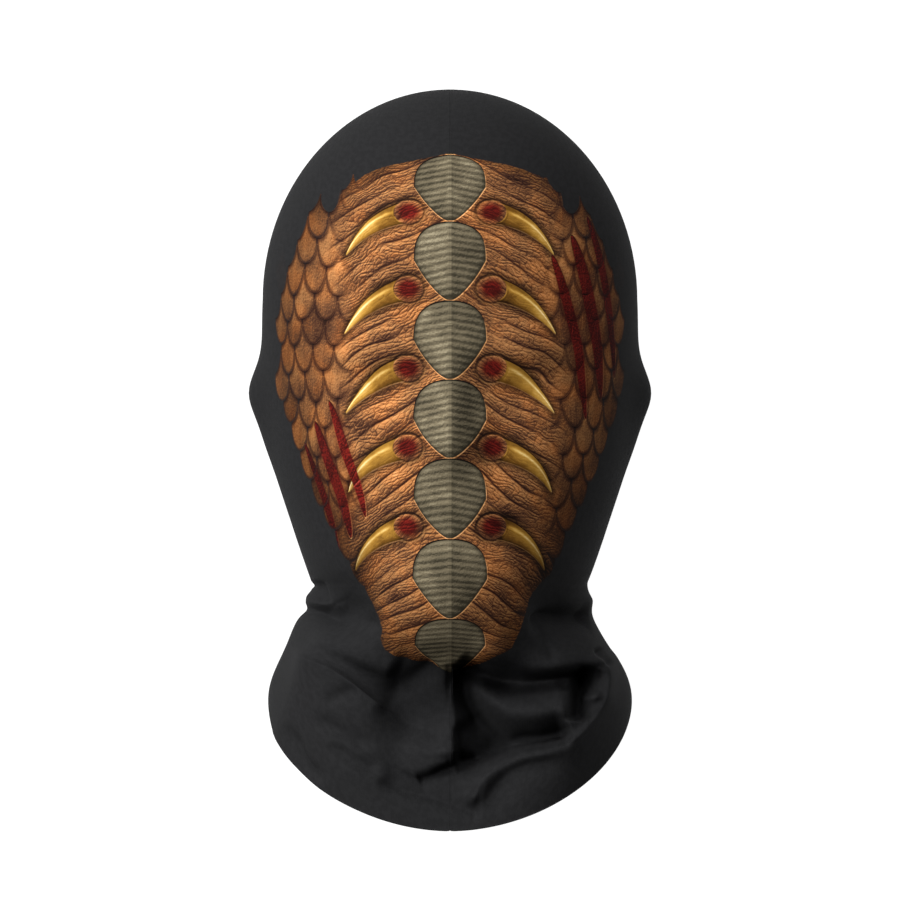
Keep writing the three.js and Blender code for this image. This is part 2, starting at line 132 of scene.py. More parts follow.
# These stand out from the form itself, so they show in the outline as well
sideFolds = {
    "long drape": ([(-70, -82), (-60, -86), (-50, -91.5), (-41, -99), (-33, -106.5), (-25, -111.5),
                    (-16, -115.5)], 8, 4.5, 20, (0.25, 0.3), 1.05),
    "jaw drape": ([(-62, -76), (-48, -79), (-34, -84), (-20, -89)], 5, 6, 6.5, (0.3, 0.15), 2),
    "hollow beside the chin": ([(-4, -87), (-11, -92.5), (-21, -98), (-34, -101)],
                               -4, 4.5, 5, (0.2, 0.4), 1.8),
    "inner pleat": ([(-58, -110), (-46, -117.5), (-32, -126)], -3, 3.5, 3, (0.3, 0.3), 2),
    "lower pleat": ([(-52, -121), (-41, -129), (-28, -134.5)], -2.6, 3.5, 3, (0.3, 0.3), 2),
    "upper lip": ([(64, -82), (66.5, -92), (66, -100), (63.5, -109)], 2.5, 5, 4, (0.2, 0.3), 1.6),
    "neck hollow": ([(61, -65.5), (52, -68), (43, -71.5), (34, -76)], -5, 5, 3, (0.05, 0.3), 1.8),
    "right neck roll": ([(64, -57), (60, -61), (52, -65)], 2.4, 4, 4, (0.05, 0.4), 1.8),
    "rim pleat": ([(-70, -112), (-66, -120), (-61.5, -130), (-52, -139.5)], -3, 3, 3, (0.3, 0.3), 2),
    "left jaw line": ([(-60.5, -62), (-57.5, -67), (-50, -71.5), (-40, -73.8), (-26, -75)],
                      -5, 6, 2.4, (0.1, 0.3), 1.3),
    "left neck slit": ([(-58, -52), (-57.3, -57), (-56.6, -62.5)], -2.6, 1.6, 1.6, (0.2, 0.2), 2),
    "left neck roll": ([(-62, -57), (-58, -61), (-51, -65)], 1.8, 3, 3, (0.05, 0.3), 1.8),
    "right slit": ([(64, -80), (65.5, -85), (68.5, -90)], -2, 1.8, 1.8, (0.2, 0.25), 2),
}
backFolds = {
    "nape roll": ([(-54, -58), (-22, -68), (22, -69), (54, -60)], 3.2, 6, 5, (0.2, 0.2), 1.8),
    "upper nape roll": ([(-56, -36), (-20, -44), (20, -43), (56, -35)], 2.2, 6, 5, (0.25, 0.25), 1.8),
    "left back drape": ([(-62, -88), (-40, -98), (-14, -114)], 2.6, 5, 10, (0.25, 0.25), 1.7),
    "right back drape": ([(64, -84), (42, -101), (10, -118)], 2.6, 10, 5, (0.25, 0.25), 1.7),
}

# Swags over the cloth below: full to the left of an edge. Edge, height, step, centre, spread
swags = {
    "swag point": ([(-62, -100), (-38, -122), (-24, -131.5), (-13, -136.6), (-4, -132.6), (1.6, -129),
                    (2.4, -119), (2.4, -100), (2.4, -70)], 9, 1.2, (-2, -126), (17, 11)),
    "right swag": ([(-14, -140), (6, -130), (18, -125), (30, -120.5), (40, -118.8), (53, -115.3),
                    (64, -108), (95, -90)], 4, 1.8, (34, -110), (20, 9)),
    "under the chin": ([(-20, -72), (2, -80), (12, -84.5), (23, -88.5), (31, -91.7), (40, -93),
                        (60, -93)], 7, 1.6, (17, -86), (12, 9)),
    "roll under jaw": ([(-20, -74), (10, -84), (23, -88.5), (31, -91.7), (40, -93), (50, -91.5),
                        (62, -88.3), (95, -78)], 10, 1.6, (46, -90), (20, 12)),
}
# The slight ridge along the seam, which fades out between these places on the collar and the crown
seamKeel = {"height": 2.2, "spread": 13, "collar": (-90, -40), "crown": (115, 159)}
# The front folds fade in between these heights, where the back folds fade out
frontStarts = (60, 105)
pathPoints = 56


def smoothstep(value, low, high):
    t = np.clip((value - low) / (high - low), 0, 1)
    return t * t * (3 - 2 * t)


def throughPoints(points, place):
    # a uniform Catmull-Rom curve, with its end points repeated
    points = np.asarray(points, float)
    first = np.clip(np.floor(place).astype(int), 0, len(points) - 2)
    t = (place - first)[..., None]
    before, start, end, after = (points[np.clip(first + k, 0, len(points) - 1)] for k in (-1, 0, 1, 2))
    inSlope, outSlope, rise = (end - before) / 2, (after - start) / 2, end - start
    cubed = inSlope + outSlope - 2 * rise
    squared = 3 * rise - 2 * inSlope - outSlope
    return ((cubed * t + squared) * t + inSlope) * t + start


def formPoint(turn, row, side):
    # turn runs from the front seam to the back seam
    # row runs from the pole (0) by the temples (1) and the neck (2) to the rim (3)
    turn, row = np.broadcast_arrays(turn, row)
    crown, rim, throat = form["crown"], form["rim"], form["throat"]
    facing, isFront = np.abs(np.cos(turn)), np.cos(turn) >= 0
    down = np.clip(row - 2, 0, 1)
    angle = np.clip(row, 0, 1) * math.pi / 2
    reach = np.sin(angle)
    skull = np.stack([crown["y"] + crown["rise"] * np.cos(angle), crown["half"] * reach,
                      crown["middle"] + 0 * reach, crown["middle"] + crown["depth"] * reach,
                      crown["middle"] - crown["depth"] * reach], -1)
    rings = form["rings"]
    face = throughPoints(rings, 1 + np.clip(row - 1, 0, 1) * (len(rings) - 3))
    neckY, neckHalf, neckMiddle, neckFront, neckBack = rings[-2]
    endY = np.where(isFront, rim["frontY"], rim["backY"])
    drop = (neckY - rim["sideY"]) + (rim["sideY"] - endY) * facing ** form["outward"][1]
    collar = np.stack([neckY - down * drop,
                       neckHalf + (rim["half"] - neckHalf) * np.sin(down * math.pi / 2) ** 2,
                       neckMiddle + (rim["middle"] - neckMiddle) * down,
                       neckFront + (rim["front"] - neckFront) * down,
                       neckBack + (rim["back"] - neckBack) * down ** rim["backCurve"]], -1)
    ring = np.where((row <= 1)[..., None], skull, np.where((row <= 2)[..., None], face, collar))
    y, half, middle, front, back = np.moveaxis(ring, -1, 0)
    deepest = throat["atSide"] + (throat["atFront"] - throat["atSide"]) * facing ** 2
    pull = (down / deepest * np.exp(1 - down / deepest)) ** throat["sharpness"]
    hollow = np.where(isFront, throat["depth"] * facing ** throat["narrowing"] * pull, 0)
    outPower = form["outward"][0] + (form["outward"][1] - form["outward"][0]) * down
    upPower = form["forward"][0] + (form["forward"][1] - form["forward"][0]) * down
    x = side * half * np.maximum(np.sin(turn), 0) ** outPower
    z = middle + (np.where(isFront, front, back) - middle) * facing ** upPower - hollow
    return np.stack([x, y, z], -1)


def nearestOn(path, x, y):
    # the distance to a path, signed by its side in across, and the share of it walked so far
    curve = throughPoints(path, np.linspace(0, len(path) - 1, pathPoints))
    steps = np.diff(curve, axis=0)
    lengths = np.hypot(*steps.T)
    walked = np.concatenate([[0], np.cumsum(lengths)])
    distance, across, along = np.full(x.shape, np.inf), np.zeros(x.shape), np.zeros(x.shape)
    sameDistance = 1e-6
    for (startX, startY), (stepX, stepY), length, start in zip(curve, steps, lengths, walked):
        dx, dy = x - startX, y - startY
        t = np.clip((dx * stepX + dy * stepY) / length ** 2, 0, 1)
        away = np.hypot(dx - t * stepX, dy - t * stepY)
        beside = (stepX * dy - stepY * dx) / length
        tied = np.abs(away - distance) < sameDistance
        nearer = np.where(tied, np.abs(beside) > np.abs(across), away < distance)
        distance = np.where(nearer, away, distance)
        across = np.where(nearer, beside, across)
        along = np.where(nearer, (start + t * length) / walked[-1], along)
    return distance, across, along


def foldHeight(fold, x, y):
    path, height, left, right, fades, crest = fold
    distance, across, along = nearestOn(path, x, y)
    fade = smoothstep(along, 0, fades[0]) * smoothstep(1 - along, 0, fades[1])
    return height * np.exp(-(distance / np.where(across > 0, left, right)) ** crest) * fade


def swagHeight(swag, x, y):
    edge, height, step, centre, spread = swag
    distance, across, _ = nearestOn(edge, x, y)
    full = (1 + np.tanh(np.sign(across) * distance / step)) / 2
    offX, offY = (x - centre[0]) / spread[0], (y - centre[1]) / spread[1]
    return height * full * np.exp(-offX ** 2 - offY ** 2)


def standOff(points):
    # how far the cloth stands off the smooth form: outward, and straight forward
    x, y, z = np.moveaxis(points, -1, 0)
    lift = np.zeros(x.shape)
    for at, spread, height, mirrored in swells:
        for way in (1, -1) if mirrored else (1,):
            off = (points - np.array(at) * (way, 1, 1)) / spread
            lift += height * np.exp(-(off ** 2).sum(-1))
    isFront = smoothstep(z, *frontStarts)
    front, side, back = (sum(foldHeight(fold, x, y) for fold in folds.values())
                         for folds in (frontFolds, sideFolds, backFolds))
    front = front + sum(swagHeight(swag, x, y) for swag in swags.values())
    keel = seamKeel["height"] * np.exp(-np.abs(x) / seamKeel["spread"])
    keel *= smoothstep(y, *seamKeel["collar"]) * (1 - smoothstep(y, *seamKeel["crown"]))
    return lift + isFront * side + (1 - isFront) * back + keel, isFront * front


def unit(vectors):
    tiny = 1e-12
    return vectors / (np.linalg.norm(vectors, axis=-1, keepdims=True) + tiny)


# One cloth panel: how fine its mesh is, and its edges. The print's heights are measured down the
# columns near the seam. At the seam the cloth turns in and ends in a short allowance, given by
# distances from the seam and depths below the outer face.
cloth = {
    "crownRows": 34, "headRows": 60, "collarRows": 138, "frontColumns": 128, "backColumns": 54,
    "firstRow": 0.012, "measuredColumns": 60, "thickness": 0.8, "rimRound": 0.25,
    "seamOutside": [(0.6, 0), (0.2, 0), (0.07, 0), (0.03, 0.04), (0, 0.3), (0, 1.4), (0, 5)],
    "seamInside": [(1.2, 0.8), (0.95, 0.8), (0.88, 0.8), (0.84, 0.85), (0.82, 1.2), (0.8, 2), (0.8, 5)],
}


def formNormals(turn, row, side):
    nudge = 1e-3
    turnBefore, turnAfter = np.maximum(turn - nudge, 0), np.minimum(turn + nudge, math.pi)
    rowBefore, rowAfter = row - nudge, np.minimum(row + nudge, 3)
    around = formPoint(turnAfter, row, side) - formPoint(turnBefore, row, side)
    down = formPoint(turn, rowAfter, side) - formPoint(turn, rowBefore, side)
    return unit(np.cross(down, around) * side)


def gridNormals(points, side):
    across, down = np.gradient(points, axis=1), np.gradient(points, axis=0)
    return unit(np.cross(down, across) * side)


def outerFace(side):
    # the cloth's outer face over the whole panel, with the print's own flat coordinates
    rows = np.concatenate([np.linspace(cloth["firstRow"], 1, cloth["crownRows"]),
                           np.linspace(1, 2, cloth["headRows"] + 1)[1:],
                           np.linspace(2, 3, cloth["collarRows"] + 1)[1:]])[:, None]
    turns = np.concatenate([np.linspace(0, math.pi / 2, cloth["frontColumns"] + 1),
                            np.linspace(math.pi / 2, math.pi, cloth["backColumns"] + 1)[1:]])[None, :]
    smooth = formPoint(turns, rows, side)
    outward, forward = standOff(smooth)
    face = smooth + formNormals(turns, rows, side) * outward[..., None]
    face[..., 2] += forward
    aroundSteps = np.linalg.norm(np.diff(smooth, axis=1), axis=-1)
    u = side * np.concatenate([np.zeros((len(rows), 1)), np.cumsum(aroundSteps, axis=1)], axis=1)
    measured = smooth[:, :cloth["measuredColumns"]]
    downSteps = np.linalg.norm(np.diff(measured, axis=0), axis=-1).mean(1)
    v = -np.concatenate([[0], np.cumsum(downSteps)])
    v -= np.interp(0, smooth[::-1, 0, 1], v[::-1])
    return face, u, np.broadcast_to(v[:, None], u.shape)


def seamColumns(face, normals, side, last, bend):
    # the panel's edge at the front seam, or at the back seam where last is true
    column = -1 if last else 0
    edge, out = face[:, column].copy(), normals[:, column].copy()
    edge[:, 0], out[:, 0] = 0, 0
    out = unit(out)
    made = []
    for x, depth in bend:
        point = edge - out * depth
        point[:, 0] = side * x
        # the allowance ends level with the rim
        point[:, 1] = np.maximum(point[:, 1], edge[-1, 1])
        made.append(point)
    return np.stack(made if last else made[::-1], 1)


def panelSkins(side):
    face, u, v = outerFace(side)
    normals = gridNormals(face, side)
    keep = slice(2, -1)  # the seam's own columns take the place of the others
    skins = []
    for depth, bend in ((0, cloth["seamOutside"]), (cloth["thickness"], cloth["seamInside"])):
        middle = (face - normals * depth)[:, keep]
        middle[..., 0] = side * np.maximum(middle[..., 0] * side, bend[0][0])
        front = seamColumns(face, normals, side, False, bend)
        back = seamColumns(face, normals, side, True, bend)
        skin = np.concatenate([front, middle, back], 1)
        skin[..., 2] = np.maximum(skin[..., 2], depth)
        skins.append(skin)
    ends = len(cloth["seamOutside"])
    flatU = np.concatenate([np.zeros((len(u), ends)), u[:, keep], np.repeat(u[:, -1:], ends, 1)], 1)
    flatV = np.repeat(v[:, :1], flatU.shape[1], 1)
    return *skins, flatU, flatV


def panelMesh(name, side):
    outer, inner, flatU, flatV = panelSkins(side)
    rows, columns = flatU.shape
    rim = (outer[-1] + inner[-1]) / 2 + unit(outer[-1] - outer[-2]) * cloth["rimRound"]
    points = np.concatenate([outer.reshape(-1, 3), inner.reshape(-1, 3), rim])
    flat = np.stack([flatU, flatV, 0 * flatU], -1).reshape(-1, 3)
    flat = np.concatenate([flat, flat, flat[-columns:]])
    index = np.arange(rows * columns).reshape(rows, columns)
    inside = index + rows * columns
    rimIndex = np.arange(columns) + 2 * rows * columns

    def quads(a, b, c, d):
        made = np.stack([a, b, c, d], -1).reshape(-1, 4)
        return made if side > 0 else made[:, ::-1]

    def sheetQuads(grid):
        return quads(grid[:-1, :-1], grid[1:, :-1], grid[1:, 1:], grid[:-1, 1:])

    def zipQuads(line):
        # closes the small hole at the pole by joining the front half of the line to the back half
        half = columns // 2
        start, end = line[:half], line[::-1][:half]
        return quads(start[:-1], start[1:], end[1:], end[:-1])

    def stripQuads(a, b):
        return quads(a[:-1], a[1:], b[1:], b[:-1])

    printed, plain = 0, 1  # places in the panel's list of materials
    sheets = [
        (sheetQuads(index), printed), (sheetQuads(inside)[:, ::-1], plain),
        (zipQuads(index[0]), printed), (zipQuads(inside[0])[:, ::-1], plain),
        (stripQuads(inside[:, 0], index[:, 0]), plain), (stripQuads(index[:, -1], inside[:, -1]), plain),
        (stripQuads(index[-1], rimIndex), printed), (stripQuads(rimIndex, inside[-1]), plain),
    ]
    mesh = bpy.data.meshes.new(name)
    mesh.from_pydata((points * mm).tolist(), [], np.concatenate([faces for faces, _ in sheets]).tolist())
    return mesh, flat, np.concatenate([np.full(len(faces), look) for faces, look in sheets])


def makePanel(name, node, side, materials):
    mesh, flat, looks = panelMesh(name, side)
    mesh.validate()
    mesh.polygons.foreach_set("use_smooth", [True] * len(mesh.polygons))
    mesh.polygons.foreach_set("material_index", looks)
    printed = mesh.attributes.new("printPlace", "FLOAT_VECTOR", "POINT")
    printed.data.foreach_set("vector", flat.astype(np.float32).ravel())
    for material in materials:
        mesh.materials.append(material)
    panel = bpy.data.objects.new(name, mesh)
    bpy.context.scene.collection.objects.link(panel)
    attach(panel, "root")
    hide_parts(node)
    print(name, len(mesh.polygons), "faces")
    return panel


# One output of a shader node, on which the signs of arithmetic work
class Wire:
    def __init__(self, paint, node, output=0):
        self.paint, self.node, self.socket = paint, node, node.outputs[output]

    def other(self, output):
        return Wire(self.paint, self.node, output)

    def math(self, operation, *others):
        return self.paint.node("Math", {"operation": operation}, [self, *others])

    def __add__(self, value):
        return self.math("ADD", value)

    def __radd__(self, value):
        return self.math("ADD", value)

    def __sub__(self, value):
        return self.math("SUBTRACT", value)

    def __rsub__(self, value):
        return self.paint.node("Math", {"operation": "SUBTRACT"}, [value, self])

    def __mul__(self, value):
        return self.math("MULTIPLY", value)

    def __rmul__(self, value):
        return self.math("MULTIPLY", value)

    def __truediv__(self, value):
        return self.math("DIVIDE", value)

    def __rtruediv__(self, value):
        return self.paint.node("Math", {"operation": "DIVIDE"}, [value, self])

    def __pow__(self, value):
        return self.math("POWER", value)

    def __abs__(self):
        return self.math("ABSOLUTE")

    def floor(self):
        return self.math("FLOOR")

    def sine(self):
        return self.math("SINE")

    def fading(self):
        # one at nought, falling off on both sides as a bell does
        return (self * self * -1).math("EXPONENT")

    def towards(self, value, amount):
        return self + (value - self) * amount

    def atLeast(self, value):
        return self.math("MAXIMUM", value)

    def atMost(self, value):
        return self.math("MINIMUM", value)

    def clipped(self):
        return self.atLeast(0).atMost(1)

    def withLeast(self, least):
        # 0 to 1 becomes least to 1
        return self * (1 - least) + least

    def root(self):
        return self.atLeast(0).math("SQRT")

    def ramp(self, low, high):
        # a smooth step from 0 at low to 1 at high, or down where high is below low
        ends = (low, high, 0, 1) if low < high else (high, low, 1, 0)
        return self.paint.node("MapRange", {"interpolation_type": "SMOOTHSTEP"}, [self, *ends])


# One material, and short ways to add nodes to it
class Paint:
    def __init__(self, name):
        self.material = bpy.data.materials.new(name)
        self.material.use_nodes = True
        self.tree = self.material.node_tree
        self.shader = self.tree.nodes["Principled BSDF"]

    def node(self, kind, settings=None, inputs=(), output=0):
        made = self.tree.nodes.new("ShaderNode" + kind)
        for name, value in (settings or {}).items():
            if name == "stops":
                self.setStops(made.color_ramp, value)
            else:
                setattr(made, name, value)
        self.fill(made, inputs)
        return Wire(self, made, output)

    def setStops(self, ramp, stops):
        while len(ramp.elements) < len(stops):
            ramp.elements.new(1)
        for element, (place, colour) in zip(ramp.elements, stops):
            element.position = place
            element.color = (*colour, 1)

    def fill(self, node, inputs):
        pairs = inputs.items() if isinstance(inputs, dict) else enumerate(inputs)
        for place, value in pairs:
            if isinstance(value, Wire):
                self.tree.links.new(value.socket, node.inputs[place])
            else:
                node.inputs[place].default_value = value

    def point(self, x, y, z=0):
        return self.node("CombineXYZ", {}, [x, y, z])

    def split(self, vector):
        parts = self.node("SeparateXYZ", {}, [vector])
        return parts, parts.other(1), parts.other(2)

    def noise(self, place, scale, detail=2, roughness=0.5, output=0):
        inputs = {"Vector": place, "Scale": scale, "Detail": detail, "Roughness": roughness}
        return self.node("TexNoise", {"noise_dimensions": "2D"}, inputs, output)

    def cracks(self, place):
        # the distance to the nearest border between cells about one unit wide
        settings = {"voronoi_dimensions": "2D", "feature": "DISTANCE_TO_EDGE"}
        return self.node("TexVoronoi", settings, {"Vector": place, "Scale": 1})

    def mix(self, amount, start, end, blend="MIX"):
        settings = {"data_type": "RGBA", "blend_type": blend}
        return self.node("Mix", settings, {0: amount, 6: start, 7: end}, 2)

    def shades(self, amount, stops):
        return self.node("ValToRGB", {"stops": stops}, [amount])

    def multiply(self, colour, by):
        return self.mix(1, colour, by, "MULTIPLY")


def srgb(code):
    # the linear colour of a screen colour written as RRGGBB
    parts = [int(code[k:k + 2], 16) / 255 for k in (0, 2, 4)]
    return tuple(c / 12.92 if c <= 0.04045 else ((c + 0.055) / 1.055) ** 2.4 for c in parts)


def shadesOf(*codes):
    return [(k / (len(codes) - 1), srgb(code)) for k, code in enumerate(codes)]


# The printed hide, in millimetres on the cloth: u to the right of the front seam, v up the face.
# Its parts are worked out as heights, which are then lit and coloured. Each part has its values
# above its function. A noise is given by its scale, detail and roughness.

# Shields down the middle: full near the top, narrowing towards the lower end
plate = {
    "pitch": 34, "half": 15.5, "long": 17, "foot": 0.38, "sideCurve": 2.2, "endCurve": 3,
    "height": 3.4, "tilt": 0.9, "keel": 2.2, "keelFall": 0.42, "edge": 0.05,
    "ringHeight": 0.26, "ringTurn": 2.1, "ringBow": 0.35, "ringWaver": 0.25,
}


def platesAt(u, v, waver):
    cell = v / plate["pitch"]
    along = (cell - cell.floor() - 0.5) * plate["pitch"]
    up = along / plate["long"]
    narrow = (up + 1).atMost(1).withLeast(plate["foot"])
    inside = 1 - (abs(u) / narrow / plate["half"]) ** plate["sideCurve"] - abs(up) ** plate["endCurve"]
    rings = (along * plate["ringTurn"] + abs(u) * plate["ringBow"] + waver * plate["ringWaver"]).sine()
    keel = (abs(u) * -plate["keelFall"]).math("EXPONENT") * plate["keel"]
    height = inside.root() * plate["height"] + keel + rings * plate["ringHeight"] - up * plate["tilt"]
    mask = inside.ramp(0, plate["edge"])
    return height * mask, mask, inside


# Thorns that curve out and down, mirrored in the seam, each from a fleshy socket that hides its
# root. The socket's edges are shares of its radius.
thorn = {
    "base": (18, 22), "tip": (48, 3), "rows": (-1, 3), "width": 5.6, "point": 0.2, "taper": 0.75,
    "bend": 3.6, "height": 5.6, "edge": 0.12,
    "socket": 8, "squash": 1.4, "dome": 3, "socketEdge": (1, 0.88), "rootEdge": (0.78, 0.86),
    "rawEdge": (0.95, 0.35),
}


def thornsAt(u, v):
    (baseX, baseY), (tipX, tipY) = thorn["base"], thorn["tip"]
    long = math.hypot(tipX - baseX, tipY - baseY)
    wayX, wayY = (tipX - baseX) / long, (tipY - baseY) / long
    cell = v / plate["pitch"] + 0.5
    x = abs(u) - baseX
    y = (cell - cell.floor()) * plate["pitch"] - baseY
    along = (x * wayX + y * wayY) / long
    held = along.clipped()
    beside = y * wayX - x * wayY - held * (1 - held) * (4 * thorn["bend"])
    past = (along - held) * long
    distance = (beside * beside + past * past).root()
    width = (1 - held) ** thorn["taper"] * thorn["width"] + thorn["point"]
    bulge = 1 - (distance / width) ** 2
    near = (x * x + y * y * thorn["squash"]).root() / thorn["socket"]
    first, last = thorn["rows"]
    there = abs(cell.floor() - (first + last) / 2).math("LESS_THAN", (last - first) / 2 + 0.5)
    socket = near.ramp(*thorn["socketEdge"]) * there
    clear = near.ramp(*thorn["rootEdge"]) * there
    mask = bulge.ramp(0, thorn["edge"]) * clear
    dome = (1 - near * near).root() * thorn["dome"] * socket
    height = bulge.root() * width / thorn["width"] * thorn["height"] * mask + dome
    return height, {"thorn": mask, "socket": socket, "thornAlong": held, "thornBeside": beside / width,
                    "thornGap": distance - width, "clear": clear,
                    "raw": near.ramp(*thorn["rawEdge"]) * there}


# Two sets of three cuts through the hide, each cut with a raised lip
claw = {
    "sets": [
        {"middle": (72, 62), "way": (0.29, -0.957), "long": 74, "apart": 14, "half": 4},
        {"middle": (-56, -8), "way": (0.36, -0.933), "long": 54, "apart": 12, "half": 3.3},
    ],
    "stagger": 5, "bow": 2.4, "full": 1.15, "outerLoss": 0.3, "least": 0.02, "edge": (-0.05, 0.25),
    "depth": 3.4, "lip": 1.4, "lipFall": 1.5, "lipEnds": (0.1, 1),
}


def clawsAt(u, v):
    cuts, lips = [], []
    for marks in claw["sets"]:
        (middleX, middleY), (wayX, wayY) = marks["middle"], marks["way"]
        x, y = u - middleX, v - middleY
        row = (x * -wayY + y * wayX) / marks["apart"]
        index = row.math("ROUND").atLeast(-1).atMost(1)
        along = (x * wayX + y * wayY + index * claw["stagger"]) / (marks["long"] / 2)
        beside = (row - index) * marks["apart"] + along * along * claw["bow"]
        half = (claw["full"] - abs(index) * claw["outerLoss"]) * marks["half"]
        room = (1 - along * along).root() * half + claw["least"]
        depth = 1 - abs(beside) / room
        cuts.append(depth.ramp(*claw["edge"]))
        lips.append((depth * claw["lipFall"]).fading() * room.ramp(*claw["lipEnds"]))
    return cuts[0].atLeast(cuts[1]), lips[0].atLeast(lips[1])


# Overlapping scales at the sides: the tips of each row lie over the row below it
scale = {
    "wide": 15, "row": 11.5, "tip": 0.8, "full": 0.2, "height": 2.2, "tilt": 1.7, "edge": 0.05,
    "keel": 0.8, "keelFall": 9, "shadow": (-0.5, -0.02),
    "streak": 0.9, "streaksAcross": 16, "streaksAlong": 3, "streakShift": (7, 5),
}


def scalesAt(paint, u, v):
    level = v / scale["row"]
    rows = []
    for step in (0, 1):
        row = level.floor() + step
        odd = row - (row * 0.5).floor() * 2
        across = abs(u) / scale["wide"] + odd * 0.5
        column = across.math("ROUND")
        beside, up = across - column, level - row
        tip = ((scale["full"] - up) / (scale["full"] + scale["tip"])).atLeast(0)
        room = 1 - beside * beside * 4 - tip * tip
        rows.append([beside, up, room, column - odd * 0.5, row])
    upperRoom = rows[1][2]
    over = upperRoom.ramp(0, scale["edge"])
    under = upperRoom.ramp(*scale["shadow"]) * (1 - over)
    beside, up, room, column, row = (low.towards(high, over) for low, high in zip(*rows))
    keel = (beside * scale["keelFall"]).fading() * scale["keel"]
    shiftX, shiftY = scale["streakShift"]
    streakPlace = paint.point(beside * scale["streaksAcross"] + column * shiftX,
                              up * scale["streaksAlong"] + row * shiftY)
    streaks = paint.noise(streakPlace, 1, 2) * scale["streak"]
    height = room.root() * scale["height"] - up * scale["tilt"] + keel + streaks
    tint = paint.node("TexWhiteNoise", {"noise_dimensions": "2D"}, {"Vector": paint.point(column, row)})
    centre = column * scale["wide"], (row + scale["full"]) * scale["row"]
    return height, {"room": room, "under": under, "tint": tint, "centre": centre}


# Folds of loose skin that run out and down from the plates, crossed by wrinkles and by cracks
leather = {
    "slope": 0.55, "waver": 0.55, "patchNoise": (0.04, 1), "patches": (0.36, 0.6), "patchLeast": 0.25,
    "fold": {"pitch": 8.2, "height": 2.6, "curve": 0.55, "shade": (0.2, 0.6)},
    "wrinkle": {"pitch": 2.7, "height": 0.7, "curve": 0.6, "shade": (0.1, 0.5), "least": 0.65,
                "drift": 16, "driftNoise": (0.11, 2), "driftAcross": 0.5},
    "crack": {"cell": (3.1, 1.7), "width": 0.16, "height": 0.32, "least": 0.7},
}


def ridgesAt(flow, kind):
    return abs((flow * (math.pi / kind["pitch"])).sine()) ** kind["curve"]


def leatherAt(paint, u, v, waver):
    fold, wrinkle, crack = leather["fold"], leather["wrinkle"], leather["crack"]
    flow = v + abs(u) * leather["slope"] + waver * leather["waver"]
    patches = paint.noise(paint.point(abs(u), v), *leather["patchNoise"]).ramp(*leather["patches"])
    strength = patches.withLeast(leather["patchLeast"])
    folds = ridgesAt(flow, fold)
    driftPlace = paint.point(u * wrinkle["driftAcross"], v)
    wrinkles = ridgesAt(flow + paint.noise(driftPlace, *wrinkle["driftNoise"]) * wrinkle["drift"], wrinkle)
    wide, tall = crack["cell"]
    cracks = (paint.cracks(paint.point(u / wide, flow / tall)) / crack["width"]).atMost(1)
    height = folds * strength * fold["height"] + wrinkles * wrinkle["height"] + cracks * crack["height"]
    foldShade = 1 - (1 - folds.ramp(*fold["shade"])) * strength
    wrinkleShade = wrinkles.ramp(*wrinkle["shade"]).withLeast(wrinkle["least"])
    return height, foldShade * wrinkleShade * cracks.withLeast(crack["least"])


# How the parts lie on each other: the leather gives way to scales between two distances from the
# seam, and sockets and thorns press down what is under them
relief = {
    "leatherFades": (58, 40), "fadeWaver": 0.8, "scaleWaver": 0.3,
    "muscle": 17, "muscleNoise": (0.024, 2, 0.4), "grain": 0.9, "grainNoise": (0.9, 3, 0.7),
    "socketPress": 0.3, "thornPress": 0.6,
}


def hideRelief(paint, u, v, waver):
    waverU, waverV = waver
    share = relief["scaleWaver"]
    scales, marks = scalesAt(paint, u + waverU * share, v + waverV * share)
    skin, hollow = leatherAt(paint, u, v, waverV)
    soft = (abs(u) + waverU * relief["fadeWaver"]).ramp(*relief["leatherFades"])
    muscle = paint.noise(paint.point(abs(u), v), *relief["muscleNoise"]) * relief["muscle"]
    speckle = paint.noise(paint.point(u, v), *relief["grainNoise"])
    grain = speckle * relief["grain"]
    plates, onPlate, plateInside = platesAt(u, v, waverV)
    thorns, thornMarks = thornsAt(u, v)
    cut, lip = clawsAt(u, v)
    hide = scales.towards(skin, soft) + muscle + grain
    raised = hide.towards(grain, onPlate) + plates
    raised = raised * (1 - thornMarks["socket"] * relief["socketPress"])
    raised = raised * (1 - thornMarks["thorn"] * relief["thornPress"]) + thorns
    raised = raised + lip * claw["lip"] - cut * claw["depth"]
    marks.update(thornMarks)
    marks.update(soft=soft, plate=onPlate, plateInside=plateInside, cut=cut, lip=lip, speckle=speckle,
                 hollow=hollow)
    return raised, marks


# The printed field: its half width at heights from the bottom to the top. Distances to its edge
# are shares of that half width.
field = {
    "outline": [(-100, 3), (-96, 15), (-88, 28), (-66, 42), (-41, 54), (-10, 75), (30, 97), (60, 104),
                (85, 97), (100, 84), (112, 68), (122, 51), (131, 27), (136, 4)],
    "widest": 110, "ragged": 0.22, "edge": (1, 0.985), "blackGaps": (0.7, 0.98), "gapDepth": 0.7,
    "duskFrom": 0.45, "duskTo": 1.05, "dusk": 0.9,
}


def regionAt(paint, u, v):
    # below 1 inside the printed field
    outline, widest = field["outline"], field["widest"]
    low, high = outline[0][0], outline[-1][0]
    stops = [((height - low) / (high - low), (half / widest,) * 3) for height, half in outline]
    half = paint.shades((v - low) / (high - low), stops) * widest
    return abs(u) / half + (v - high).atLeast(0) + (low - v).atLeast(0)


